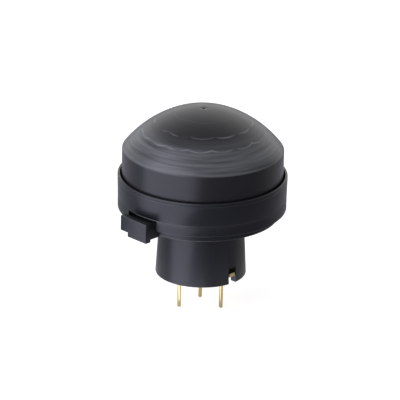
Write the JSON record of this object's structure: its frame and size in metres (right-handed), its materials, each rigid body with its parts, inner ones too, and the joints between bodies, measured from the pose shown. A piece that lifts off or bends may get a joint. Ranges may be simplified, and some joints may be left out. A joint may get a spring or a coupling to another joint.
{
  "type": "pir motion sensor",
  "caption": "Compact soldered pyroelectric motion sensor: faceted smoked dome lens, thin collar ring and tapered neck round a metal can with gold-plated leads.",
  "frame": {"origin": "centre of the neck's rim, in the plane that seats on the circuit board", "axes": "+Z along the optical axis towards the dome's apex, +X towards the supply lead, -Y the front seen in the picture"},
  "size_m": [0.0205, 0.0204, 0.0259],
  "materials": {
    "lens": "smoked polyethylene, satin gloss",
    "collar": "moulded black resin, semi-gloss",
    "holder": "moulded black resin, semi-gloss",
    "nickel_steel": "nickel plated",
    "gold_plate": "gold plated, bright",
    "sealing_glass": "fused glass bead",
    "coated_silicon": "polished and coated",
    "epoxy": "cured epoxy",
    "inner_plastic": "moulded",
    "alumina": "fired, unglazed",
    "solder": "bright solder",
    "bare_silicon": "polished",
    "capacitor_ceramic": "fired",
    "element_ceramic": "lapped, with metal film electrodes"
  },
  "bodies": {
    "root": {"lens_dome": "lens", "collar_ring": "collar", "holder_base": "holder", "can_cap": "nickel_steel", "header_base": "gold_plate", "glass_seal_power": "sealing_glass", "glass_seal_output": "sealing_glass", "lead_power": "gold_plate", "lead_output": "gold_plate", "lead_ground": "gold_plate", "ir_window": "coated_silicon", "window_adhesive": "epoxy", "board_spacer": "inner_plastic", "circuit_board": "alumina", "lead_joints": "solder", "chip_attach_film": "epoxy", "signal_chip": "bare_silicon", "bond_wires": "gold_plate", "chip_capacitor_left": "capacitor_ceramic", "chip_capacitor_right": "capacitor_ceramic", "element_support_front": "alumina", "element_support_back": "alumina", "element_bonds": "epoxy", "pyro_element": "element_ceramic"}
  },
  "joints": []
}
